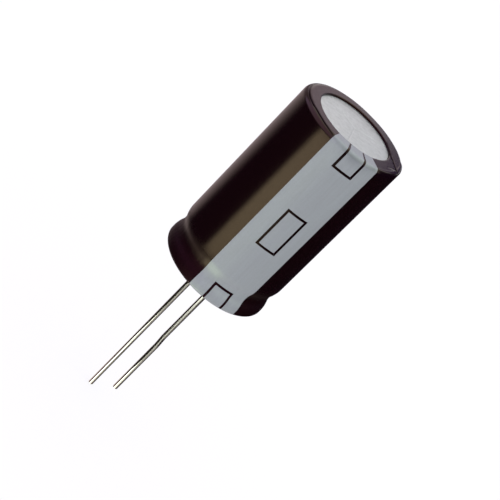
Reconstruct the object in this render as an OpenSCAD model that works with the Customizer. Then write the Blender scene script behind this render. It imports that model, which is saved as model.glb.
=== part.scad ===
// Radial aluminium electrolytic capacitor, 18 x 31.5 mm size.
// The origin is the centre of the seating plane, +Z points to the vented end and the leads point down.
// The negative lead, and the printed stripe with it, face -Y.

/* [Can] */
// Outside diameter of the aluminium can
can_d = 17.65; // [17.2:0.05:18.2]
// Height of the can from its curled rim to its closed end
can_h = 31.5; // [25:0.5:41]
// Thickness of the drawn wall
can_wall = 0.35; // [0.25:0.05:0.4]
// Thickness of the closed end
can_end_t = 0.5; // [0.45:0.05:0.8]
// Outer rounding of the closed end
can_end_round = 1; // [0.6:0.05:1.4]

/* [Vent] */
// Distance of the score rays' ends from the sleeve's opening over the closed end
vent_margin = 0.45; // [0.2:0.05:2]
// Depth of the score
vent_depth = 0.2; // [0.1:0.02:0.3]
// Direction of the first ray, from +X
vent_turn = 11; // [0:1:119]

/* [Roll groove and curled rim] */
// Height of the groove's middle above the seating plane
groove_z = 3.6; // [3.4:0.05:3.8]
// Depth of the groove in the can
groove_depth = 1.1; // [0.8:0.05:1.2]
// Radius of the groove's bottom
groove_r = 1.3; // [1.1:0.05:1.4]
// Radius of the groove's shoulders
shoulder_r = 1.7; // [1.5:0.05:1.8]
// Radius of the wide sweep under the rim
rim_sweep_r = 2.2; // [1.8:0.1:2.4]
// Radius of the rim's outer corner
rim_corner_r = 0.45; // [0.45:0.05:0.6]
// Slope at which the sweep meets the corner
rim_slope = 30; // [25:1:35]
// Outer radius of the rim's curled edge
curl_r = 0.55; // [0.45:0.05:0.65]
// How far the rim reaches in from the can's side
rim_reach = 2.175; // [2.1:0.025:2.5]

/* [Heat-shrink sleeve] */
// Thickness of the sleeve on the wall and under the rim
sleeve_t = 0.2; // [0.1:0.02:0.26]
// Thickness of the ring that has shrunk over the closed end
sleeve_lip_t = 0.35; // [0.25:0.05:0.5]
// How far the sleeve reaches in over the closed end
sleeve_top_reach = 2.675; // [2:0.025:3]
// How far the sleeve reaches in under the rim
sleeve_base_reach = 1.975; // [1.7:0.025:2]
// How far the sleeve dips where it spans the roll groove
sleeve_dip = 0.46; // [0.2:0.02:0.6]

/* [Printed stripe] */
// Width of the stripe round the sleeve
stripe_w = 8.4; // [6:0.1:12]
// Thickness of the ink
ink_t = 0.04; // [0.02:0.01:0.06]
// Turn of the stripe's middle from the negative lead
stripe_turn = -5.9; // [-12:0.1:12]
// Width of the outlined rectangles round the sleeve
mark_w = 3.5; // [2.5:0.1:5]
// Height of the outlined rectangles
mark_h = 7.3; // [6.5:0.1:9]
// Distance between the middles of the rectangles
mark_pitch = 16.2; // [16:0.1:17]
// Height of the middle rectangle's middle
mark_z = 16.1; // [15.5:0.1:16.5]
// Sideways shift of the rectangles from the stripe's middle
mark_shift = 0.14; // [-1:0.02:1]
// Width of the rectangles' outline
mark_line = 0.4; // [0.3:0.05:0.6]

/* [Leads] */
// Distance between the two leads
lead_pitch = 7.5; // [7.2:0.1:7.8]
// Diameter of the tinned wire
lead_d = 0.8; // [0.6:0.05:0.9]
// Length of the positive lead below the seating plane
positive_len = 30.9; // [26:0.1:36]
// Length of the negative lead below the seating plane
negative_len = 24.1; // [20:0.1:26]
// Diameter of the weld between wire and stem
weld_d = 1.3; // [1.1:0.05:1.6]
// Length of the weld's cone below the stem
weld_len = 0.25; // [0.15:0.05:0.3]
// Depth below the seating plane at which the negative lead's jog starts
jog_start = 11.6; // [9:0.1:14]
// Angle of the jog
jog_angle = 4; // [2:0.5:8]
// Radius of the jog's two bends
jog_bend_r = 8; // [4:0.5:10]
// Straight length between the two bends
jog_run = 1.2; // [0.5:0.1:3]
// Direction in which the jog leads, from +X
jog_turn = -25; // [-90:1:90]

/* [Bung] */
// Height of the bung's upper face above the seating plane
bung_top = 5.95; // [5.95:0.05:6.4]
// Height of the bung's lower face inside the rim
bung_base = 0.35; // [0.25:0.05:0.5]
// Gap between the rim's opening and the boss that fills it
boss_gap = 0.2; // [0.1:0.05:0.6]
// Diameter of the pocket round each wire
pocket_d = 3.2; // [2.6:0.1:3.4]
// Depth of the pocket
pocket_depth = 0.35; // [0.2:0.05:0.5]

/* [Tabs] */
// Diameter of the round stem
stem_d = 2; // [1.6:0.1:2.2]
// Length of the round stem above the bung
stem_over = 0.3; // [0.2:0.1:0.6]
// Length over which the stem is pressed flat
swage_len = 1; // [0.8:0.1:1.5]
// Width of the flat paddle
paddle_w = 2.4; // [1.8:0.1:2.6]
// Thickness of the flat paddle
paddle_t = 0.25; // [0.2:0.01:0.3]
// Length of the paddle inside the winding
paddle_len = 19; // [12:0.5:20]

/* [Winding] */
// Radius of the hole that the winding mandrel left
core_r = 1.3; // [1:0.05:1.8]
// Thickness of the anode foil
anode_t = 0.1; // [0.08:0.01:0.12]
// Thickness of the cathode foil
cathode_t = 0.05; // [0.03:0.01:0.06]
// Thickness of each paper separator
paper_t = 0.05; // [0.04:0.01:0.06]
// Thickness of the closing tape
tape_t = 0.05; // [0.04:0.01:0.08]
// Height of the closing tape
tape_h = 12; // [8:0.5:16]
// Gap between neighbouring layers
layer_gap = 0.005; // [0.002:0.001:0.008]
// Gap between the winding and the can wall
winding_gap = 0.12; // [0.05:0.01:0.3]
// Distance of the winding from the rounding inside the can's closed end
winding_head = 0.3; // [0.2:0.1:1]
// How far the paper stands out beyond the foils at each end
paper_over = 0.8; // [0.4:0.1:1.5]

/* [Hidden] */

// Running clearance between solid pieces that the real part squeezes together
seat_gap = 0.02;
eps = 0.01;

// The can stands on the sleeve, which is folded under its rim
can_r = can_d / 2;
can_base = sleeve_t;
can_top = can_base + can_h;
can_in_r = can_r - can_wall;
sleeve_r = can_r + sleeve_t;
sleeve_top = can_top + sleeve_lip_t;
end_round = can_end_round + sleeve_t;

// Openings of the rim and of the sleeve's two ends
rim_open_r = can_r - rim_reach;
base_open_r = sleeve_r - sleeve_base_reach;
top_open_r = sleeve_r - sleeve_top_reach;
vent_ray = top_open_r - vent_margin;

// Half width of the groove. The sleeve spans it just inside its shoulders, with arcs of one radius.
groove_turn = acos(1 - groove_depth / (groove_r + shoulder_r));
groove_half = (groove_r + shoulder_r) * sin(groove_turn);
dip_half = groove_half - 2 * seat_gap;
dip_turn = 2 * atan(sleeve_dip / dip_half);
dip_r = dip_half / sin(dip_turn) / 2;

// Angles round the sleeve
stripe_arc = stripe_w / sleeve_r * 180 / PI;
stripe_mid = stripe_turn - 90;
mark_arc = mark_w / sleeve_r * 180 / PI;
mark_mid = stripe_mid + mark_shift / sleeve_r * 180 / PI;
line_arc = mark_line / sleeve_r * 180 / PI;

// The stem ends at the bottom of the bung's pocket, where the wire is welded on
weld_z = bung_base + pocket_depth;
stem_top = bung_top + stem_over;
winding_base = stem_top + swage_len + 2 * seat_gap;
winding_top = can_top - can_end_t - (can_end_round - can_wall) - winding_head;

// The four layers of one turn, from the inside: paper, anode foil, paper, cathode foil
inner_paper_at = 0;
anode_at = inner_paper_at + paper_t + layer_gap;
outer_paper_at = anode_at + anode_t + layer_gap;
cathode_at = outer_paper_at + paper_t + layer_gap;
turn_t = cathode_at + cathode_t + layer_gap;

// A flat paddle between two round turns opens them by its thickness and by the turn's rise over its width
paddle_room = paddle_t + paddle_w * paddle_w / 4 / (lead_pitch / 2 - paddle_t) / 2 + 2 * seat_gap;
half_turns = 2 * floor((can_in_r - winding_gap - core_r - paddle_room - tape_t) / turn_t) - 2;

// Half turns are counted from the core. Even ones start at +Y, the anode tab's side, and odd ones at -Y.
anode_half = 2 * round((lead_pitch / 2 - paddle_t / 2 - core_r - anode_at - anode_t) / turn_t);
cathode_half = 2 * round((lead_pitch / 2 - paddle_t / 2 - core_r - cathode_at - cathode_t) / turn_t - 0.5) + 1;
anode_paddle_y = reach(anode_at, anode_half, 0) + anode_t + seat_gap;
cathode_paddle_y = reach(cathode_at, cathode_half, 0) + cathode_t + seat_gap;

// Points of an arc from one angle to another, one every few degrees
function arc(centre, r, from, to) =
    let (steps = max(2, ceil(abs(to - from) / 7.5)))
    [for (i = [0:steps]) let (a = from + (to - from) * i / steps) centre + r * [cos(a), sin(a)]];

function backwards(points) = [for (i = [len(points) - 1:-1:0]) points[i]];

// Side of the can or the sleeve from the flat under the rim to the flat of the closed end.
// r, base and top are its outer limits, and everything is inset by t, or by end_t at the closed end.
function side(r, base, top, t, end_t, sweep, corner, shoulder, bottom, turn, round) =
    let (
        sweep_x = r - sweep * sin(rim_slope) - corner * (1 - sin(rim_slope)),
        half = (shoulder + bottom) * sin(turn),
        depth = (shoulder + bottom) * (1 - cos(turn))
    )
    concat(
        arc([sweep_x, base + sweep], sweep - t, 270, 270 + rim_slope),
        arc([sweep_x + (sweep - corner) * sin(rim_slope), base + sweep - (sweep - corner) * cos(rim_slope)],
            corner - t, 270 + rim_slope, 360),
        arc([r - shoulder, groove_z - half], shoulder - t, 0, turn),
        arc([r - depth + bottom, groove_z], bottom + t, 180 + turn, 180 - turn),
        arc([r - shoulder, groove_z + half], shoulder - t, -turn, 0),
        arc([r - round, top - end_t - round + t], round - t, 0, 90)
    );

function can_side(t, end_t) =
    side(can_r, can_base, can_top, t, end_t, rim_sweep_r, rim_corner_r, shoulder_r, groove_r, groove_turn,
         can_end_round);

function sleeve_side(t, end_t) =
    side(sleeve_r, 0, sleeve_top, t, end_t, rim_sweep_r + sleeve_t, rim_corner_r + sleeve_t, dip_r, dip_r,
         dip_turn, end_round);

// The curled edge inside the rim
function curl(t) = arc([rim_open_r + curl_r, can_base + curl_r], curl_r - t, 180, 270);

// Where a layer crosses the Y axis at the start of a half turn. It stands further out past a paddle.
function reach(at, half, room) = core_r + at + half * turn_t / 2 + room;

// One layer of the sleeve or its print between two insets
module skin(out_t, in_t, out_end, in_end)
    polygon(concat(
        [[base_open_r, out_t]],
        sleeve_side(out_t, out_end),
        [[top_open_r, sleeve_top - out_end], [top_open_r, sleeve_top - in_end]],
        backwards(sleeve_side(in_t, in_end)),
        [[base_open_r, in_t]]
    ));

// A wedge of a ring, from one angle to another and one height to another, through the print
module ring_piece(from, to, low, high)
    rotate_extrude(start = from, angle = to - from, $fn = 96)
        translate([core_r, low]) square([sleeve_r, high - low]);

module sleeve()
    color([0.16, 0.09, 0.10])
    rotate_extrude($fn = 96) skin(0, sleeve_t, 0, sleeve_lip_t);

// Outline of one rectangle, which stays unprinted. It may run past either end of the sleeve.
module mark(middle)
    difference() {
        ring_piece(mark_mid - mark_arc / 2, mark_mid + mark_arc / 2, middle - mark_h / 2, middle + mark_h / 2);
        ring_piece(mark_mid - mark_arc / 2 + line_arc, mark_mid + mark_arc / 2 - line_arc,
                   middle - mark_h / 2 + mark_line, middle + mark_h / 2 - mark_line);
    }

// The print ends just above the flat that the part is seated on
module stripe_print()
    color([0.62, 0.65, 0.66])
    difference() {
        rotate_extrude(start = stripe_mid - stripe_arc / 2, angle = stripe_arc, $fn = 96)
            intersection() {
                skin(-ink_t, 0, -ink_t, 0);
                translate([0, ink_t]) square([sleeve_r + ink_t, sleeve_top]);
            }
        for (i = [-1:1]) mark(mark_z + i * mark_pitch);
    }

module can()
    color([0.80, 0.81, 0.82])
    difference() {
        rotate_extrude($fn = 96)
            polygon(concat(
                curl(0), can_side(0, 0),
                [[0, can_top], [0, can_top - can_end_t]],
                backwards(can_side(can_wall, can_end_t)), backwards(curl(can_wall))
            ));
        for (i = [0:2])
            translate([0, 0, can_top]) rotate([0, 0, vent_turn + i * 120]) rotate([45, 0, 0])
                translate([0, -vent_depth * sqrt(0.5), -vent_depth * sqrt(0.5)])
                    cube([vent_ray, vent_depth * sqrt(2), vent_depth * sqrt(2)]);
    }

// The bung takes the can's inside shape above the curled edge, and its boss fills the rim's opening
module bung()
    color([0.12, 0.12, 0.13])
    difference() {
        union() {
            rotate_extrude($fn = 96)
                intersection() {
                    polygon(concat([[0, can_base]], can_side(can_wall + seat_gap, can_end_t), [[0, can_top]]));
                    translate([0, can_base + curl_r + seat_gap])
                        square([can_r, bung_top - can_base - curl_r - seat_gap]);
                }
            translate([0, 0, bung_base]) cylinder(r = rim_open_r - boss_gap, h = curl_r + can_wall, $fn = 96);
        }
        for (s = [-1, 1]) translate([0, s * lead_pitch / 2, 0]) {
            cylinder(d = stem_d + 2 * seat_gap, h = bung_top + eps, $fn = 48);
            cylinder(d = pocket_d, h = weld_z, $fn = 48);
        }
    }

// A tab on the +Y side: round stem through the bung, swaged to a flat paddle at paddle_y
module tab(paddle_y) {
    translate([0, lead_pitch / 2, weld_z]) cylinder(d = stem_d, h = stem_top - weld_z, $fn = 48);
    intersection() {
        translate([paddle_w / 2, 0, 0]) rotate([90, 0, -90])
            linear_extrude(paddle_w)
                polygon([[-lead_pitch / 2 + stem_d / 3, stem_top - eps], [-paddle_y, stem_top + swage_len],
                         [-paddle_y, winding_base + paddle_len], [-paddle_y - paddle_t, winding_base + paddle_len],
                         [-paddle_y - paddle_t, stem_top + swage_len], [-lead_pitch / 2 - stem_d / 3, stem_top - eps]]);
        translate([0, lead_pitch, 0]) rotate([90, 0, 0])
            linear_extrude(lead_pitch)
                polygon([[-stem_d / 3, stem_top - eps], [stem_d / 3, stem_top - eps],
                         [paddle_w / 2, stem_top + swage_len], [paddle_w / 2, winding_base + paddle_len],
                         [-paddle_w / 2, winding_base + paddle_len], [-paddle_w / 2, stem_top + swage_len]]);
    }
}

module anode_tab() color([0.78, 0.79, 0.80]) tab(anode_paddle_y);

module cathode_tab() color([0.78, 0.79, 0.80]) rotate([0, 0, 180]) tab(cathode_paddle_y);

// Wire of a given length, straight down from the origin
module wire(length) translate([0, 0, -length]) cylinder(d = lead_d, h = length, $fn = 32);

// A bend from straight down towards +X, and what follows it
module bend() {
    translate([jog_bend_r, 0, 0]) rotate([90, 0, 0])
        rotate_extrude(start = 180, angle = jog_angle, $fn = 96)
            translate([jog_bend_r, 0]) circle(d = lead_d, $fn = 32);
    translate([jog_bend_r * (1 - cos(jog_angle)), 0, -jog_bend_r * sin(jog_angle)])
        rotate([0, -jog_angle, 0]) children();
}

// The weld is a short cone between the wire and the end of the stem
module weld()
    translate([0, 0, weld_z - weld_len]) cylinder(d1 = lead_d, d2 = weld_d, h = weld_len, $fn = 32);

module positive_lead()
    color([0.86, 0.85, 0.80])
    translate([0, lead_pitch / 2, 0]) {
        weld();
        translate([0, 0, weld_z]) wire(positive_len + weld_z);
    }

module negative_lead()
    color([0.86, 0.85, 0.80])
    translate([0, -lead_pitch / 2, 0]) {
        jog_drop = 2 * jog_bend_r * sin(jog_angle) + jog_run * cos(jog_angle);
        weld();
        translate([0, 0, weld_z]) wire(jog_start + weld_z);
        translate([0, 0, -jog_start]) rotate([0, 0, jog_turn])
            bend() {
                wire(jog_run);
                translate([0, 0, -jog_run]) mirror([1, 0, 0])
                    bend() wire(negative_len - jog_start - jog_drop);
            }
    }

// One rolled strip: each half turn is half a ring, centred so that it meets the next one on the Y axis.
// Past a paddle the strip stands further out on that paddle's side.
module strip(at, t, first, last, low, high, anode_from, cathode_from) {
    function out(half) =
        reach(at, half, (half % 2 == 0 ? half >= anode_from : half >= cathode_from) ? paddle_room : 0);
    for (half = [first:last - 1]) {
        side = half % 2 == 0 ? 1 : -1;
        translate([0, side * (out(half) - out(half + 1)) / 2, low])
            rotate_extrude(start = 90 * side, angle = 180, $fn = 96)
                translate([(out(half) + out(half + 1)) / 2, 0]) square([t, high - low]);
    }
}

module anode_foil()
    color([0.55, 0.56, 0.58])
    strip(anode_at, anode_t, 2, half_turns - 3, winding_base + paper_over, winding_top - paper_over,
          anode_half + 2, cathode_half + 2);

module cathode_foil()
    color([0.74, 0.75, 0.76])
    strip(cathode_at, cathode_t, 2, half_turns - 2, winding_base + paper_over, winding_top - paper_over,
          anode_half, cathode_half + 2);

module inner_separator()
    color([0.85, 0.80, 0.68])
    strip(inner_paper_at, paper_t, 0, half_turns, winding_base, winding_top, anode_half + 2, cathode_half + 2);

module outer_separator()
    color([0.85, 0.80, 0.68])
    strip(outer_paper_at, paper_t, 0, half_turns, winding_base, winding_top, anode_half, cathode_half + 2);

module winding_tape()
    color([0.72, 0.60, 0.36])
    strip(inner_paper_at, tape_t, half_turns, half_turns + 2, (winding_base + winding_top - tape_h) / 2,
          (winding_base + winding_top + tape_h) / 2, anode_half, cathode_half);

sleeve();
stripe_print();
can();
bung();
anode_tab();
cathode_tab();
positive_lead();
negative_lead();
anode_foil();
cathode_foil();
inner_separator();
outer_separator();
winding_tape();
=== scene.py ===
import math

import bmesh
import bpy
from mathutils import Matrix, Vector, noise


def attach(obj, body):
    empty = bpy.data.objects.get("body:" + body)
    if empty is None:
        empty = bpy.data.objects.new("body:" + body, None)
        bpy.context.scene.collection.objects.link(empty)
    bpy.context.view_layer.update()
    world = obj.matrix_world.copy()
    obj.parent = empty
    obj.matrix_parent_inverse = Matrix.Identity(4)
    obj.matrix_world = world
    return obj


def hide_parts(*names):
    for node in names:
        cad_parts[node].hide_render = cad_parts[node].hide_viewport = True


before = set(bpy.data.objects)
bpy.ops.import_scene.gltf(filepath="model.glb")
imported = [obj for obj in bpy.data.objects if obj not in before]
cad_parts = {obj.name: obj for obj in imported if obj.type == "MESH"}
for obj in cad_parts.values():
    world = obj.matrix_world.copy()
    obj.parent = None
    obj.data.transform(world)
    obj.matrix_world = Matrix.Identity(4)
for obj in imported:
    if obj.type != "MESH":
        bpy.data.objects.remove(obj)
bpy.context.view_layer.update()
mm = 0.001
joinDistance = 1e-7  # points closer than this are one
print("loaded", len(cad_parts), "solids")


class Value:  # a node's output that can be used in sums
    def __init__(self, shader, socket):
        self.shader, self.socket = shader, socket

    def math(self, operation, first, second):
        return self.shader.node("Math", {"operation": operation}, {0: first, 1: second})

    def __add__(self, other):
        return self.math("ADD", self, other)

    def __sub__(self, other):
        return self.math("SUBTRACT", self, other)

    def __rsub__(self, other):
        return self.math("SUBTRACT", other, self)

    def __mul__(self, other):
        return self.math("MULTIPLY", self, other)

    def __truediv__(self, other):
        return self.math("DIVIDE", self, other)

    def __abs__(self):
        return self.math("ABSOLUTE", self, 0)

    def atLeast(self, least):
        return self.math("MAXIMUM", self, least)

    __radd__, __rmul__ = __add__, __mul__


class Shader:  # the nodes of one material or of the world
    def __init__(self, owner):
        owner.use_nodes = True
        self.tree = owner.node_tree
        self.tree.nodes.clear()

    def node(self, kind, settings, sockets, out=0):
        made = self.tree.nodes.new("ShaderNode" + kind)
        for key, value in settings.items():
            if key == "stops":
                for stop, (place, colour) in zip(made.color_ramp.elements, value):
                    stop.position, stop.color = place, colour
            else:
                setattr(made, key, value)
        for key, value in sockets.items():
            if isinstance(value, Value):
                self.tree.links.new(value.socket, made.inputs[key])
            else:
                made.inputs[key].default_value = value
        return Value(self, made.outputs[out]) if made.outputs else None

    def mixColour(self, share, first, second, blend="MIX"):
        return self.node("Mix", {"data_type": "RGBA", "blend_type": blend}, {0: share, 6: first, 7: second}, 2)

    def tinted(self, first, second):  # one colour times the other
        return self.mixColour(1.0, first, second, "MULTIPLY")

    def mixShader(self, share, first, second):
        return self.node("MixShader", {}, {0: share, 1: first, 2: second})

    def ramp(self, value, *stops):  # a colour by value, each stop (place, colour)
        return self.node("ValToRGB", {"stops": stops}, {0: value})

    def fade(self, value, start, end):  # 0 at start, 1 at end, smooth in between
        return self.node("MapRange", {"interpolation_type": "SMOOTHSTEP"}, {0: value, 1: start, 2: end})

    def place(self, stretch=(1, 1, 1)):  # the piece's own coordinates in millimetres
        point = self.node("TexCoord", {}, {}, "Object")
        return self.node("Mapping", {}, {"Vector": point, "Scale": tuple(s / mm for s in stretch)})

    def height(self):
        return self.node("SeparateXYZ", {}, {0: self.place()}, "Z")

    def radius(self):  # distance from the can's axis
        return self.node("VectorMath", {"operation": "LENGTH"}, {0: self.place((1, 1, 0))}, "Value")

    def grain(self, scale, detail=3.0, stretch=(1, 1, 1), roughness=0.5):
        return self.node("TexNoise", {}, {"Vector": self.place(stretch), "Scale": scale, "Detail": detail,
                                          "Roughness": roughness})

    def shade(self):  # painted shade in the folds, creases and the right corner, kept on the film's and the ink's points
        return self.node("Attribute", {"attribute_name": "shade"}, {}, "Fac")

    def seen(self):  # 1 where the camera looks straight at the surface
        return self.node("LightPath", {}, {}, "Is Camera Ray")

    def bump(self, height, depth):  # depth in millimetres for a height of 1
        return self.node("Bump", {}, {"Strength": 1.0, "Distance": depth * mm, "Height": height})

    def principled(self, sockets):
        return self.node("BsdfPrincipled", {}, sockets)

    def surface(self, made, output="OutputMaterial"):
        self.node(output, {}, {"Surface": made})


def newMaterial(name, build):
    material = bpy.data.materials.new(name)
    build(Shader(material))
    return material


def grey(level, tint=(1, 1, 1)):
    return (*(level * t for t in tint), 1)


# Grains are scale, detail and stretch. A stretch under 1 draws the grain out along that axis.
film = {
    "colour": (0.0036, 0.0005, 0.0014, 1), "gloss": (1.0, 0.74, 0.46, 1), "peel": 0.004,
    "roughness": 0.16, "roughnessSpread": 0.06, "mottle": (1.6, 4),
    "peelGrains": [(1, (0.9, 3, (1, 1, 0.35))), (0.25, (5, 2)), (0.4, (2.6, 3, (1, 1, 0.07)))],  # share, grain
    "softRoughness": 0.36, "softFade": (5.4, 7.2), "softRagged": 0.9,  # the film is duller below these heights
    "softGrain": (2.2, 2, (1, 1, 0.1)),
    # painted shade: the near-black matte finish that the folds, creases and the right corner take
    "foldShadeColour": (0.004, 0.001, 0.003, 1), "foldShadeRoughness": 0.9,
}
gathered = {  # the film where it has shrunk most: below the roll groove, and its cut edge over the closed end
    "colour": (0.0044, 0.0004, 0.0012, 1), "shades": (0.4, 1.6), "shadeGrain": (3, 4),
    "gloss": (1.0, 0.40, 0.45, 1), "shine": 0.14, "roughness": 0.45, "peel": 0.02, "peelGrain": (2.5, 4),
    "fade": (3.9, 4.7), "ragged": 0.8,
    "edgeAbove": (31.0, 31.2), "edgeBelow": (31.93, 31.98), "edgeWithin": (6.9, 7.0),
}


def buildFilm(s):
    height, mottle = s.height(), s.grain(*film["mottle"])
    soft = 1 - s.fade(height + film["softRagged"] * s.grain(*film["softGrain"]), *film["softFade"])
    duller = soft * (film["softRoughness"] - film["roughness"])
    roughness = film["roughness"] + film["roughnessSpread"] * mottle + duller
    peel = sum(share * s.grain(*grain) for share, grain in film["peelGrains"])
    tight = s.principled({"Base Color": film["colour"], "Specular Tint": film["gloss"], "Roughness": roughness,
                          "Normal": s.bump(peel, film["peel"])})

    g = gathered
    shade = s.mixColour(s.grain(*g["shadeGrain"]), *(grey(level) for level in g["shades"]))
    loose = s.principled({"Base Color": s.tinted(g["colour"], shade), "Roughness": g["roughness"],
                          "Specular IOR Level": g["shine"], "Specular Tint": g["gloss"],
                          "Normal": s.bump(s.grain(*g["peelGrain"]), g["peel"])})
    low = 1 - s.fade(height + g["ragged"] * mottle, *g["fade"])
    cutEdge = (1 - s.fade(s.radius(), *g["edgeWithin"])) * (1 - s.fade(height, *g["edgeBelow"]))
    outside = s.mixShader(low + s.fade(height, *g["edgeAbove"]) * cutEdge, tight, loose)

    # painted shade: where the points' shade says, the film turns near-black and matte, in its folds, creases and
    # right corner
    paintedFoldShade = s.principled({"Base Color": film["foldShadeColour"], "Roughness": film["foldShadeRoughness"],
                           "Specular IOR Level": 0.0})
    s.surface(s.mixShader(s.shade(), outside, paintedFoldShade))


ink = {
    "colour": (0.268, 0.288, 0.298, 1), "roughness": 0.38, "gloss": (0.75, 1.0, 0.55, 1), "shine": 0.9,
    "streak": 0.13, "streakTint": (1, 0.99, 0.985), "streakRange": (0.25, 0.75),
    "streakGrains": [(0.6, (2.4, 4, (1, 1, 0.06))), (0.4, (4, 3))],  # share, grain
    "bump": 0.002, "bumpGrain": (6, 2),
    # painted shade: the ink darkens towards this colour along the crease over the corner
    "foldShadeColour": (0.055, 0.048, 0.080, 1), "foldShade": 0.6,
}


def buildInk(s):
    low, high = ink["streakRange"]
    streak = sum(share * s.grain(*grain) for share, grain in ink["streakGrains"])
    shade = s.ramp(streak, (low, grey(1 - ink["streak"], ink["streakTint"])), (high, grey(1)))
    # painted shade along the crease, by the points' shade
    colour = s.mixColour(s.shade() * ink["foldShade"], s.tinted(ink["colour"], shade), ink["foldShadeColour"])
    s.surface(s.principled({"Base Color": colour, "Roughness": ink["roughness"], "Specular IOR Level": ink["shine"],
                            "Specular Tint": ink["gloss"],
                            "Normal": s.bump(s.grain(*ink["bumpGrain"]), ink["bump"])}))


canMetal = {
    "colour": (0.645, 0.70, 0.645, 1), "roughness": 0.36, "roughnessSpread": 0.12, "bump": 0.03,
    "grains": [(0.3, (2.2, 5, (0.25, 2.2, 1))), (0.7, (1.3, 6, (1, 1, 1), 0.8))],  # share, grain
    "dark": (0.36, grey(0.84, (0.99, 1, 0.985))), "pale": (0.62, grey(1.08, (1, 0.985, 1))),
    "scoreDown": 0.25, "scoreLeft": 0.10,  # what lies up to that far down is the vent's score, fainter in the photo
}


def buildCan(s):
    drawn = sum(share * s.grain(*grain) for share, grain in canMetal["grains"])
    shade = s.ramp(drawn, canMetal["dark"], canMetal["pale"])
    s.surface(s.principled({"Base Color": s.tinted(canMetal["colour"], shade), "Metallic": 1.0,
                            "Roughness": canMetal["roughness"] + canMetal["roughnessSpread"] * drawn,
                            "Normal": s.bump(drawn, canMetal["bump"])}))


tin = {"colour": (0.80, 0.79, 0.73, 1), "roughness": 0.08, "roughnessSpread": 0.04, "grain": (1.5, 3, (1, 1, 0.4))}


def buildTin(s):
    s.surface(s.principled({"Base Color": tin["colour"], "Metallic": 1.0,
                            "Roughness": tin["roughness"] + tin["roughnessSpread"] * s.grain(*tin["grain"])}))


def plainFinish(colour, roughness, metallic=0.0, mottle=0.1, scale=2.0):
    def build(s):
        shade = s.mixColour(s.grain(scale), grey(1 - mottle), grey(1 + mottle))
        s.surface(s.principled({"Base Color": s.tinted(colour, shade), "Metallic": metallic,
                                "Roughness": roughness}))
    return build


finishes = {
    "sleeve_film": newMaterial("brown shrink film", buildFilm),
    "silver_ink": newMaterial("silver ink", buildInk),
    "can_aluminium": newMaterial("drawn aluminium", buildCan),
    "tinned_wire": newMaterial("tinned wire", buildTin),
    "bung_rubber": newMaterial("bung rubber", plainFinish((0.020, 0.019, 0.021, 1), 0.6, 0.0, 0.2, 1.5)),
    "tab_aluminium": newMaterial("tab aluminium", plainFinish((0.66, 0.66, 0.67, 1), 0.32, 1.0)),
    "etched_foil": newMaterial("etched foil", plainFinish((0.30, 0.30, 0.31, 1), 0.62, 0.8)),
    "plain_foil": newMaterial("plain foil", plainFinish((0.58, 0.58, 0.59, 1), 0.40, 1.0)),
    "wet_paper": newMaterial("wet paper", plainFinish((0.50, 0.42, 0.28, 1), 0.55)),
    "closing_tape": newMaterial("closing tape", plainFinish((0.48, 0.33, 0.12, 1), 0.35)),
}
print("finishes:", len(finishes))


def newObject(name, bm, material):
    mesh = bpy.data.meshes.new(name)
    bm.to_mesh(mesh)
    bm.free()
    made = bpy.data.objects.new(name, mesh)
    bpy.context.scene.collection.objects.link(made)
    mesh.materials.append(material)
    return made


def finishPiece(name, bm, slot, nodes, crease=40):  # edges that turn by more degrees than crease stay sharp
    for face in bm.faces:
        face.smooth = True
    for edge in bm.edges:
        edge.smooth = edge.calc_face_angle(0) < math.radians(crease)
    piece = newObject(name, bm, finishes[slot])
    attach(piece, "root")
    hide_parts(*nodes)
    print(name, len(piece.data.polygons), "faces")


def roundCorners(bm, corners, closed):  # corners are (radius, height, rounding, segments) in millimetres
    verts = [bm.verts.new((x * mm, 0, z * mm)) for x, z, _, _ in corners]
    for pair in zip(verts, verts[1:] + verts[:1] if closed else verts[1:]):
        bm.edges.new(pair)
    for i, (_, _, rounding, segments) in enumerate(corners):
        if rounding:
            before, here, after = (Vector(corners[j % len(corners)][:2]) for j in (i - 1, i, i + 1))
            turn = (here - before).angle(after - here)
            bmesh.ops.bevel(bm, geom=[verts[i]], offset=rounding * math.tan(turn / 2) * mm, offset_type="OFFSET",
                            segments=segments, profile=0.5, affect="VERTICES", material=-1, clamp_overlap=False)


sleeve = {  # sizes in millimetres and degrees, as in the solid
    "outside": 9.025, "top": 32.05, "canTop": 31.70, "thickness": 0.2,
    "baseOpening": 7.05, "topOpening": 6.35, "topRounding": 1.2, "edgeRounding": 0.12,
    "dipMiddle": 3.6, "dipHalf": 2.2816, "dipDepth": 0.46,
    "sweep": 2.4, "corner": 0.65, "slope": 30,
    "steps": 360, "segments": 14, "innerSegments": 6, "edgeSegments": 5,
    "row": 0.9, "fineRow": 0.06, "fineAbove": 31.9,  # rows of faces, finer over the closed end
    "printOverlap": 0.16,  # how far the print runs down the edge of the opening
}


def addRows(bm):
    for edge in list(bm.edges):
        fine = min(v.co.z for v in edge.verts) > sleeve["fineAbove"] * mm
        cuts = math.ceil(edge.calc_length() / mm / sleeve["fineRow" if fine else "row"]) - 1
        if cuts > 0:
            bmesh.ops.subdivide_edges(bm, edges=[edge], cuts=cuts)


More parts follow.
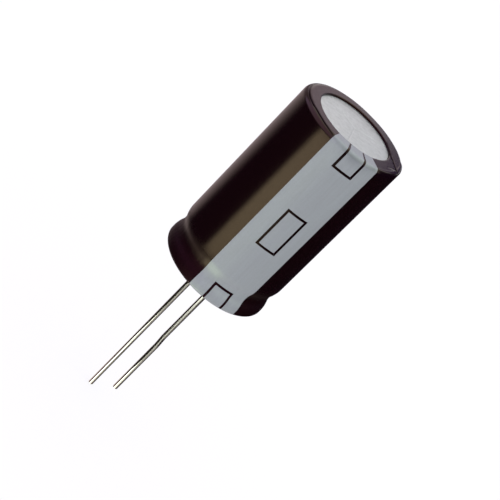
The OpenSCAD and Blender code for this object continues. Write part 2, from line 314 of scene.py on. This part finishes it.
def sleeveCorners(inset):  # from the opening under the rim, up the side, to the closed end
    s = sleeve
    r, slope = s["outside"] - inset, math.radians(s["slope"])
    turn = 2 * math.atan(s["dipDepth"] / s["dipHalf"])
    bend = s["dipHalf"] / math.sin(turn) / 2
    flank = s["dipHalf"] - bend * math.tan(turn / 2)
    shoulder = flank - inset * math.tan(turn / 2)
    apex = s["outside"] - flank * math.tan(turn) - inset / math.cos(turn)
    rimTop = s["sweep"] - (s["sweep"] - s["corner"]) * math.cos(slope)
    cornerAt = rimTop - (s["corner"] - inset) * math.tan(math.pi / 4 - slope / 2)
    sweepAt = r - (cornerAt - inset) / math.tan(slope)
    top = s["top"] - inset if inset <= 0 else min(s["top"] - inset, s["canTop"])
    fine = s["segments"] if inset <= 0 else s["innerSegments"]
    return [
        (s["baseOpening"], inset, 0, 0),
        (sweepAt, inset, s["sweep"] - inset, fine),
        (r, cornerAt, s["corner"] - inset, fine),
        (r, s["dipMiddle"] - shoulder, bend - inset, fine),
        (apex, s["dipMiddle"], bend + inset, 2 * fine),
        (r, s["dipMiddle"] + shoulder, bend - inset, fine),
        (r, top, s["topRounding"] - inset, fine),
    ]


def topEdge(lift=0.0):  # the edge of the sleeve over the closed end, or of the print that lies on it
    opening = sleeve["topOpening"] - lift
    low = sleeve["top"] - sleeve["printOverlap"] if lift else sleeve["canTop"]
    return [(opening, sleeve["top"] + lift, sleeve["edgeRounding"], sleeve["edgeSegments"]), (opening, low, 0, 0)]


# How the film, and the print on it, differ from the plain solid, and where painted shade darkens them. A turn is in
# degrees from -Y towards +X.
shrinkage = {
    "cornerSizes": [  # turn, rounding of the top corner there
        (-180, 1.35), (-145, 1.30), (-115, 1.15), (-85, 0.90), (-55, 0.85), (-25, 0.72), (12, 0.66), (32, 0.52),
        (65, 0.53), (79, 0.60), (88, 1.00), (125, 1.22), (155, 1.38), (180, 1.35)],
    "cornerReach": 2.6,  # how far from the sharp corner the film gives way to that
    "faceAbove": 30.8, "faceDepth": 0.1,  # where the folds are, down from the ring, and under its outer face
    "overCorner": 2.14,  # a fold's radius counts on over the corner by this for each millimetre down from the top
    "creaseWidth": 0.11,
    "creases": [  # turn, then the ring's outer crease there: radius, depth, width of its painted shade line, darkness of that painted shade
        (-180, 8.90, 0, 0.20, 0), (-130, 8.90, 0, 0.20, 0), (-106, 8.88, 0.16, 0.20, 0.6),
        (-95, 8.88, 0.18, 0.24, 0.85), (-85, 8.86, 0.18, 0.30, 0.9), (-75, 8.68, 0.18, 0.36, 0.95),
        (-65, 8.44, 0.18, 0.36, 0.95), (-55, 8.50, 0.16, 0.34, 0.95), (-45, 8.72, 0.14, 0.32, 0.9),
        (-36, 9.00, 0.08, 0.34, 0.85), (-32, 9.40, 0.02, 0.45, 0.5), (-25, 9.60, 0, 0.75, 0.5),
        (-9, 9.90, 0, 0.70, 1), (7, 9.75, 0, 0.75, 0.7), (17, 9.50, 0, 0.70, 0.9), (24, 9.50, 0, 0.40, 0),
        (180, 9.50, 0, 0.40, 0)],
    "folds": [  # start and end as (turn, radius), width, depth, darkness of the painted shade along it
        ((135, 6.36), (108, 6.38), 0.22, 0, 0.35), ((108, 6.38), (82, 6.45), 0.26, 0, 0.7),
        ((82, 6.45), (70.2, 7.08), 0.20, 0.02, 1), ((70.2, 7.08), (55, 8.65), 0.20, 0.03, 1),
        ((45.8, 7.60), (57.7, 8.45), 0.08, 0.05, 0)],
    "paintedCornerShade": [(-180, 0), (18, 0), (26, 0.9), (48, 0.9), (60, 0), (180, 0)],  # turn, darkness of the painted shade on the corner
    "shadeFrom": 8.7, "shadeDrift": 0.012, "driftAfter": 30, "shadeFade": 0.15,  # the radius at which that painted shade starts
    "openingShift": [  # turn, how much further out the ring's inner edge lies there
        (-180, 0), (-130, 0), (-100, 0.10), (-85, 0.22), (-58, 0.34), (-40, 0.38), (-5, 0.15), (20, 0), (32, -0.14),
        (65, -0.05), (90, 0), (180, 0)],
    "openingAbove": 31.6, "openingWithin": 7.35,
    "ringWithin": 8.3,
    "grooveFrom": 1.0, "grooveTo": 6.4, "grooveOutside": 8,
    "baseBelow": 0.3, "baseWithin": 7.6,
    "waves": {  # size, least share of it, how fast it changes along the section and round the sleeve, seed
        "ring": (0.012, 0.5, 0.35, 3, 5), "groove": (0.03, 0.5, 0.15, 22, 0),
        "baseEdge": (0.14, 0, 0, 4, 9), "topEdge": (0.05, 0, 0, 6, 3)},
}


def gauss(x, width):
    return math.exp(-(x / width) ** 2)


def clamp(x):
    return max(0.0, min(1.0, x))


def wave(kind, turn, along=0.0):  # smooth noise on the film
    size, least, stretch, scale, seed = shrinkage["waves"][kind]
    angle = math.radians(turn)
    place = Vector((math.sin(angle) * scale, math.cos(angle) * scale, along * stretch + seed))
    return size * (least + 0.5 * noise.noise(place))


def foldLine(turn, radius, start, end, width):  # 1 on a straight fold on the ring from start to end
    point, a, b = (Matrix.Rotation(math.radians(t), 2) @ Vector((0, -r))
                   for t, r in ((turn, radius), start, end))
    share = clamp((point - a).dot(b - a) / (b - a).length_squared)
    return gauss((point - a - share * (b - a)).length, width)


def around(places, turn):  # values at a turn between the given places, each (turn, value, ...)
    for (a, *first), (b, *second) in zip(places, places[1:]):
        if a <= turn <= b:
            share = (turn - a) / (b - a)
            share *= share * (3 - 2 * share)
            return [p + (q - p) * share for p, q in zip(first, second)]


def fromCorner(distance, scale):  # scales distances from the sharp corner up to the rounding, and evens out behind it
    size, reach = sleeve["topRounding"], shrinkage["cornerReach"]
    if distance < size:
        return distance * scale
    if distance > reach:
        return distance
    return size * scale + (distance - size) * (reach - size * scale) / (reach - size)


def ringFolds(turn, radius, reach):  # depth of the folds, and darkness of the painted shade in them and on the corner, at a place on the ring or its corner
    s = shrinkage
    place, depth, width, dark = around(s["creases"], turn)
    drop = depth * gauss(reach - place, s["creaseWidth"])
    shade = dark * gauss(reach - place, width)
    for start, end, width, depth, dark in s["folds"]:
        line = foldLine(turn, radius, start, end, width)
        drop += depth * line
        shade = max(shade, dark * line)
    shadeFrom = s["shadeFrom"] + s["shadeDrift"] * max(0, turn - s["driftAfter"])
    shade = max(shade, around(s["paintedCornerShade"], turn)[0] * clamp((reach - shadeFrom) / s["shadeFade"]))
    return drop, shade


def shrinkFolds(bm):  # the film is looser at some places of the corner, and takes small folds as it shrinks; the painted shade of the folds is kept on its points
    s, shades = shrinkage, bm.verts.layers.float.new("shade")
    outside, top, base = sleeve["outside"], sleeve["top"], sleeve["baseOpening"]
    for v in bm.verts:
        radius, height = math.hypot(v.co.x, v.co.y) / mm, v.co.z / mm
        turn = math.degrees(math.atan2(v.co.x, -v.co.y))
        size = around(s["cornerSizes"], turn)[0]
        if height > top - s["cornerReach"] and radius > outside - s["cornerReach"]:
            moved = outside - fromCorner(outside - radius, size / sleeve["topRounding"])
            v.co.xy *= moved / radius
            radius, height = moved, top - fromCorner(top - height, size / sleeve["topRounding"])
            v.co.z = height * mm
        drop = push = 0.0
        fromMiddle = math.hypot(max(0, radius - outside + size), max(0, height - top + size))
        if height > s["faceAbove"] and fromMiddle > size - s["faceDepth"]:
            drop, v[shades] = ringFolds(turn, radius, radius + (top - height) * s["overCorner"])
            if radius < s["ringWithin"]:
                drop += wave("ring", turn, radius)
        if s["grooveFrom"] < height < s["grooveTo"] and radius > s["grooveOutside"]:
            share = (height - s["grooveFrom"]) / (s["grooveTo"] - s["grooveFrom"])
            push = wave("groove", turn, height) * math.sin(math.pi * share)
        if height < s["baseBelow"] and radius < s["baseWithin"]:
            push = wave("baseEdge", turn) * (s["baseWithin"] - radius) / (s["baseWithin"] - base)
        if height > s["openingAbove"] and radius < s["openingWithin"]:
            push = -(around(s["openingShift"], turn)[0] + wave("topEdge", turn)) * (s["openingWithin"] - radius)
        v.co.z -= drop * mm
        v.co.xy *= (radius - push) / radius


def spinProfile(bm, angle, steps, whole):
    bmesh.ops.spin(bm, geom=bm.verts[:] + bm.edges[:], cent=(0, 0, 0), axis=(0, 0, 1), angle=angle, steps=steps,
                   use_merge=whole)


def makeSleeve():
    bm = bmesh.new()
    roundCorners(bm, sleeveCorners(0) + topEdge() + sleeveCorners(sleeve["thickness"])[::-1], True)
    addRows(bm)
    spinProfile(bm, math.tau, sleeve["steps"], True)
    bmesh.ops.recalc_face_normals(bm, faces=bm.faces[:])
    shrinkFolds(bm)
    finishPiece("sleeve_film", bm, "sleeve_film", ["sleeve"], 60)


stripe = {
    "width": 8.4, "turn": -5.9, "thickness": 0.015, "steps": 54,
    "markWidth": 3.5, "markHeight": 7.3, "markPitch": 16.2, "markMiddle": 16.1, "markShift": 0.14,
    "markLine": 0.4,
}


def makeStripe():
    s, arc = stripe, 1 / sleeve["outside"]
    middle, line = math.radians(s["turn"]), s["markLine"]
    start, end = (middle + side * s["width"] / 2 * arc for side in (-1, 1))
    left, right = (middle + (s["markShift"] + side * s["markWidth"] / 2) * arc for side in (-1, 1))
    lows = [s["markMiddle"] + i * s["markPitch"] - s["markHeight"] / 2 for i in (-1, 0, 1)]

    bm = bmesh.new()
    roundCorners(bm, sleeveCorners(-s["thickness"]) + topEdge(s["thickness"]), False)
    addRows(bm)
    bmesh.ops.rotate(bm, verts=bm.verts[:], cent=(0, 0, 0), matrix=Matrix.Rotation(start - math.pi / 2, 3, "Z"))
    spinProfile(bm, end - start, s["steps"], False)
    cuts = [((0, 0, (low + at) * mm), (0, 0, 1))
            for low in lows for at in (0, line, s["markHeight"] - line, s["markHeight"])]
    cuts += [((0, 0, 0), (math.cos(turn), math.sin(turn), 0))
             for turn in (left, left + line * arc, right - line * arc, right)]
    for point, normal in cuts:
        bmesh.ops.bisect_plane(bm, geom=bm.verts[:] + bm.edges[:] + bm.faces[:], dist=joinDistance,
                               plane_co=point, plane_no=normal)

    def inOutline(face):
        place = face.calc_center_median()
        turn, height = math.atan2(place.x, -place.y), place.z / mm
        inMark = left < turn < right and any(low < height < low + s["markHeight"] for low in lows)
        inField = (left + line * arc < turn < right - line * arc
                   and any(low + line < height < low + s["markHeight"] - line for low in lows))
        return inMark and not inField

    bmesh.ops.delete(bm, geom=[f for f in bm.faces if inOutline(f)], context="FACES")
    bmesh.ops.recalc_face_normals(bm, faces=bm.faces[:])
    bmesh.ops.solidify(bm, geom=bm.faces[:], thickness=s["thickness"] * mm)
    bmesh.ops.recalc_face_normals(bm, faces=bm.faces[:])
    shrinkFolds(bm)
    finishPiece("stripe_ink", bm, "silver_ink", ["stripe_print"], 60)


leads = {
    "pitch": 7.5, "thickness": 0.8, "weldThickness": 1.3, "weldTop": 0.7, "weldDrop": 0.25,
    # each step is ("straight", length), ("bend", angle, radius, direction from +X) or ("to", height)
    "positive": [("straight", 31.35)],
    "negative": [("straight", 12.05), ("bend", 4, 8, -25), ("straight", 1.2), ("bend", -4, 8, -25), ("to", -24.1)],
    "segments": 40, "bendSteps": 6, "endBevel": 0.05, "endSegments": 2,
    "shift": {"positive": 0.05, "negative": 0.05}, "shiftTurn": -24.8,  # to the right in the photo, as a turn from +X
}


def edgesOf(parts):
    return [g for g in parts if isinstance(g, bmesh.types.BMEdge)]


def vertsOf(edges):
    return list({v for edge in edges for v in edge.verts})


def middleOf(loop):
    points = [v.co for edge in loop for v in edge.verts]
    return sum(points, Vector()) / len(points)


def pull(bm, loop, move):  # extrudes a loop of edges and returns the new loop
    made = bmesh.ops.extrude_edge_only(bm, edges=loop)["geom"]
    bmesh.ops.translate(bm, verts=[g for g in made if isinstance(g, bmesh.types.BMVert)], vec=move)
    return [edge for edge in edgesOf(made) if all(v in made for v in edge.verts)]


def makeLead(name, side, node):
    s = leads
    bm = bmesh.new()
    bmesh.ops.create_circle(bm, cap_ends=True, segments=s["segments"], radius=s["weldThickness"] / 2 * mm,
                            matrix=Matrix.Translation((0, side * s["pitch"] / 2 * mm, s["weldTop"] * mm)))
    loop = pull(bm, bm.edges[:], (0, 0, -s["weldDrop"] * mm))
    centre = middleOf(loop)
    for v in vertsOf(loop):
        v.co = centre + (v.co - centre) * (s["thickness"] / s["weldThickness"])
    heading = Vector((0, 0, -1))
    for kind, size, *bend in s[name]:
        if kind == "bend":
            radius, turn = bend
            across = Matrix.Rotation(math.radians(turn), 3, "Z") @ Vector((1, 0, 0))
            axis = heading.cross(across).normalized()
            centre = middleOf(loop) + axis.cross(heading) * math.copysign(radius * mm, size)
            loop = edgesOf(bmesh.ops.spin(bm, geom=loop + vertsOf(loop), cent=centre, axis=axis,
                                          angle=math.radians(size), steps=s["bendSteps"])["geom_last"])
            heading = Matrix.Rotation(math.radians(size), 3, axis) @ heading
        else:
            length = size if kind == "straight" else middleOf(loop).z / mm - size
            loop = pull(bm, loop, heading * length * mm)
    end = bmesh.ops.edgeloop_fill(bm, edges=loop)["faces"]
    bmesh.ops.bevel(bm, geom=[e for f in end for e in f.edges], offset=s["endBevel"] * mm,
                    segments=s["endSegments"], profile=0.5, affect="EDGES", material=-1)
    bmesh.ops.recalc_face_normals(bm, faces=bm.faces[:])
    across = Matrix.Rotation(math.radians(s["shiftTurn"]), 3, "Z") @ Vector((1, 0, 0))
    bmesh.ops.translate(bm, verts=bm.verts[:], vec=across * s["shift"][name] * mm)
    finishPiece(name + "_wire", bm, "tinned_wire", [node])


def copyOf(node):  # the solid's own mesh, with its triangles joined
    bm = bmesh.new()
    bm.from_mesh(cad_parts[node].data)
    bmesh.ops.remove_doubles(bm, verts=bm.verts[:], dist=joinDistance)
    return bm


def makeCan():
    bm = copyOf("can")
    for v in bm.verts:
        depth = sleeve["canTop"] - v.co.z / mm
        if 0 < depth < canMetal["scoreDown"] and v.co.xy.length < sleeve["topOpening"] * mm:
            v.co.z += depth * (1 - canMetal["scoreLeft"]) * mm
    finishPiece("can_smooth", bm, "can_aluminium", ["can"], 32)


makeSleeve()
makeStripe()
makeLead("positive", 1, "positive_lead")
makeLead("negative", -1, "negative_lead")
makeCan()

smoothed = {
    "bung": "bung_rubber",
    "anode_tab": "tab_aluminium", "cathode_tab": "tab_aluminium", "anode_foil": "etched_foil",
    "cathode_foil": "plain_foil", "inner_separator": "wet_paper", "outer_separator": "wet_paper",
    "winding_tape": "closing_tape",
}
for node, slot in smoothed.items():
    finishPiece(node + "_smooth", copyOf(node), slot, [node], 32)
print("inside pieces:", len(smoothed))


floor = {"size": 900, "segments": 96, "below": 31.0, "colour": 0.92, "shadowShare": 0.25}


def buildFloor(s):
    lit = s.node("BsdfDiffuse", {}, {"Color": grey(floor["colour"])})
    white = s.node("Emission", {}, {"Color": grey(1.0), "Strength": 1.0})
    s.surface(s.mixShader(s.seen() * (1 - floor["shadowShare"]), lit, white))


def makeFloor():
    bm = bmesh.new()
    bmesh.ops.create_circle(bm, cap_ends=True, segments=floor["segments"], radius=floor["size"] * mm,
                            matrix=Matrix.Translation((0, 0, -floor["below"] * mm)))
    made = newObject("floor", bm, newMaterial("pale floor", buildFloor))
    made.visible_glossy = False  # the studio's lower half stays dark in the film's gloss
    made.visible_shadow = False


def facing(turn, rise):  # towards a turn from -Y and a rise above the horizon, to the right of that, and upwards
    t, e = math.radians(turn), math.radians(rise)
    ahead = Vector((math.sin(t) * math.cos(e), -math.cos(t) * math.cos(e), math.sin(e)))
    right = Vector((math.cos(t), math.sin(t), 0))
    return ahead, right, ahead.cross(right)


studio = {
    "sky": (1.42, 1.43, 1.50, 1), "under": (0.014, 0.008, 0.012, 1), "horizon": (-0.1, 0.25),
    "cardFade": (0.05, 0.15),  # a card's far side, behind the object, fades out between these
    "cards": [  # each covers what is behind it
        # turn, rise, half width, half height, side softness, top softness, colour
        (-93, 30, 52, 30, 10, 8, (0.95, 0.72, 1.30, 1)),        # dimmer side of the room: the left corner of the ring
        (94, 10, 20, 22, 3, 6, (0.05, 0.03, 0.08, 1)),          # dark side: the ring's corner at the right
        (137.2, 21, 16.8, 11, 1.5, 4, (0.07, 0.03, 0.14, 1)),   # shade behind the object on the right
        (173.2, 24, 16.8, 14, 1.5, 6, (0.66, 0.52, 0.61, 1)),   # a paler one on the left
        (174, 10, 13, 8, 2, 1.5, (1.00, 0.90, 0.93, 1)),        # pale strip along the horizon
        (-162, 12, 20, 25, 8, 4, (0.28, 0.21, 0.23, 1)),        # dark end of the room: the corner at the far left
        (0, -90, 38, 38, 10, 10, (0.45, 0.34, 0.34, 1)),        # glow from the table below
        (-176, -19.5, 27, 10, 17, 2, (0.52, 0.41, 0.42, 1)),    # low wall at the left: the grey edge of the sleeve
        (-180, -46, 20, 15, 10, 3, (0.84, 0.68, 0.68, 1)),      # and lower, for the upper side of the roll groove
        (-41, -30, 24, 15, 5, 4, (2.2, 2.2, 2.2, 1)),           # softbox at the lower left: the olive band
        (-41, -27, 24, 4, 5, 3, (2.75, 2.8, 2.55, 1)),          # brighter towards its middle
        (-30, -58, 12, 17, 4, 8, (4.4, 4.6, 3.9, 1)),           # and at its lower end
        (-51, -35.5, 27, 7.5, 2, 1, (0.02, 0.02, 0.01, 1)),     # gap in it: the dark upper line of the leads
        (-4, -32, 9, 8, 3, 1, (0.72, 0.72, 0.64, 1)),           # their bright line
        (33, -41, 25, 12, 6, 3, (0.36, 0.34, 0.31, 1)),         # and their lower side
    ],
}


def buildStudio(s):
    direction = s.node("TexCoord", {}, {}, "Generated")
    nearest = studio["cardFade"][0]

    def along(vector):
        return s.node("VectorMath", {"operation": "DOT_PRODUCT"}, {0: direction, 1: vector}, "Value")

    def cardMask(turn, rise, halfWidth, halfHeight, sideSoftness, topSoftness):
        forward, across, upward = facing(turn, rise)
        ahead = along(forward)
        mask = s.fade(ahead, *studio["cardFade"])
        for side, half, soft in ((across, halfWidth, sideSoftness), (upward, halfHeight, topSoftness)):
            reach = abs(along(side) / ahead.atLeast(nearest))
            inner, outer = (math.tan(math.radians(half + sign * soft)) for sign in (-1, 1))
            mask = mask * (1 - s.fade(reach, inner, outer))
        return mask

    light = s.mixColour(s.fade(along((0, 0, 1)), *studio["horizon"]), studio["under"], studio["sky"])
    for *card, colour in studio["cards"]:
        light = s.mixColour(cardMask(*card), light, colour)
    lit = s.node("Background", {}, {"Color": light, "Strength": 1.0})
    white = s.node("Background", {}, {"Color": grey(1.0), "Strength": 1.0})
    s.surface(s.mixShader(s.seen(), lit, white), "OutputWorld")


camera = {  # degrees, with the turn from -Y, and millimetres
    "turn": -24.8, "rise": 25.056, "roll": 44.82, "distance": 229.2, "aim": (0, 0, 15.7),
    "across": 4.476, "down": -6.794,  # how far off the middle of the picture the aim lies
    "lens": 114.06, "sensor": 36, "clip": (0.01, 10),
}


def makeCamera():
    c = camera
    back, right, up = facing(c["turn"], c["rise"])
    roll = math.radians(c["roll"])
    across = right * math.cos(roll) + up * math.sin(roll)
    upward = up * math.cos(roll) - right * math.sin(roll)
    place = Vector(c["aim"]) + back * c["distance"] - across * c["across"] + upward * c["down"]
    data = bpy.data.cameras.new("camera")
    data.lens, data.sensor_width = c["lens"], c["sensor"]
    data.clip_start, data.clip_end = c["clip"]
    made = bpy.data.objects.new("camera", data)
    made.matrix_world = Matrix.Translation(place * mm) @ Matrix((across, upward, back)).transposed().to_4x4()
    bpy.context.scene.collection.objects.link(made)
    bpy.context.scene.camera = made


makeFloor()
world = bpy.data.worlds.new("studio")
bpy.context.scene.world = world
buildStudio(Shader(world))
makeCamera()
bpy.context.scene.view_settings.view_transform = "Standard"
print("studio and camera ready")
